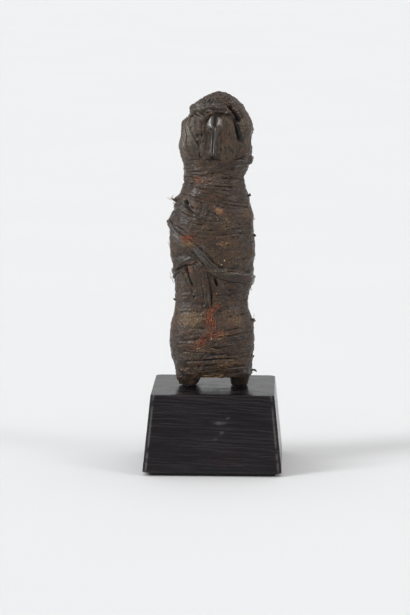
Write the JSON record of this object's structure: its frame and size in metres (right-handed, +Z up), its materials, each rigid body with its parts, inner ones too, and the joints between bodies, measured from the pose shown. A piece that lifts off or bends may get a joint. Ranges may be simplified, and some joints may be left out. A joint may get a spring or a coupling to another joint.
{
  "type": "bound wooden figure on plinth",
  "caption": "Small standing wooden figure wound all over with hide strips and straps, its glossy face left open, fixed upright on a square tapered black plinth.",
  "frame": {"origin": "middle of the plinth's underside", "axes": "+Z up, the figure's face looks along -Y, +X to the right of a viewer in front"},
  "size_m": [0.08, 0.08, 0.2176],
  "materials": {
    "ebonised_wood": "satin black, open grain",
    "carved_wood": "dark brown, rubbed glossy",
    "hide": "crusted dark brown patina",
    "strap_hide": "smooth dark brown, waxy on the folds"
  },
  "bodies": {
    "root": {"plinth": "ebonised_wood", "figure": "carved_wood", "head_binding": "hide", "neck_binding": "hide", "shoulder_binding": "hide", "chest_binding": "hide", "waist_binding": "hide", "leg_binding": "hide", "chin_strap": "strap_hide", "brow_strap": "strap_hide", "left_cheek_strip": "strap_hide", "left_cheek_strap": "strap_hide", "right_cheek_strip": "strap_hide", "right_cheek_strap": "strap_hide", "shoulder_strap": "strap_hide", "shoulder_loop": "strap_hide", "waist_strip_outer": "strap_hide", "waist_strip_inner": "strap_hide", "side_strap": "strap_hide", "chest_strap": "strap_hide", "hanging_thong": "strap_hide"}
  },
  "joints": []
}
